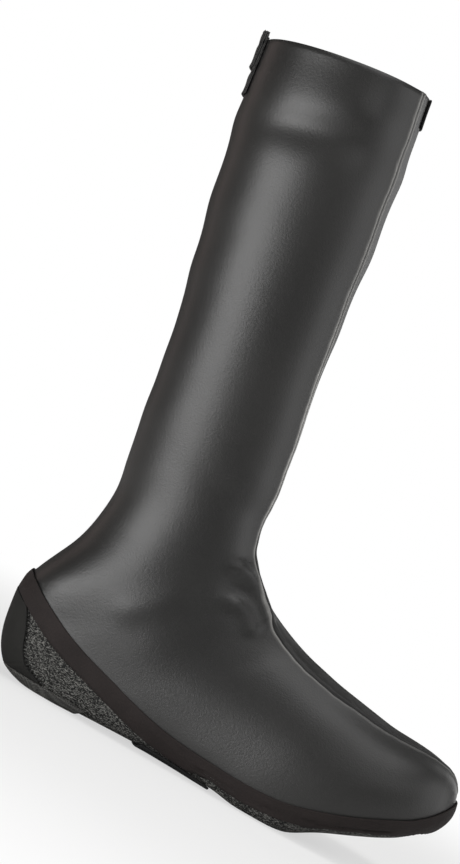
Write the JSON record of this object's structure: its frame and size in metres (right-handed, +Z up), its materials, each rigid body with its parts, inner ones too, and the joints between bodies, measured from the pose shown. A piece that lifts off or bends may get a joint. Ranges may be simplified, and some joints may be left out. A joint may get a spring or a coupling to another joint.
{
  "type": "cycling overshoe",
  "caption": "Tall black neoprene cycling overshoe for the right foot, with taped grey abrasion-cloth sole, arch strap, cleat opening and collar pull loop.",
  "frame": {"origin": "on the floor under the centre of the bounding box", "axes": "+X towards the toe, +Y towards the inner side of the foot, +Z up, with the sole on the floor at Z = 0"},
  "size_m": [0.3338, 0.1076, 0.4297],
  "materials": {
    "upper": "smooth-skin neoprene, satin",
    "sole": "grey melange abrasion cloth",
    "edge_binding": "woven binding tape",
    "heel_panel": "rubber-coated cloth, matte",
    "heel_patch": "coarse woven cloth",
    "arch_strap": "hook-and-loop tape",
    "pull_loop": "ribbed webbing",
    "front_collar_tab": "smooth tape"
  },
  "bodies": {
    "root": {"upper": "upper", "sole": "sole", "edge_binding": "edge_binding", "heel_panel": "heel_panel", "heel_patch": "heel_patch", "arch_strap": "arch_strap", "pull_loop": "pull_loop", "front_collar_tab": "front_collar_tab"}
  },
  "joints": []
}
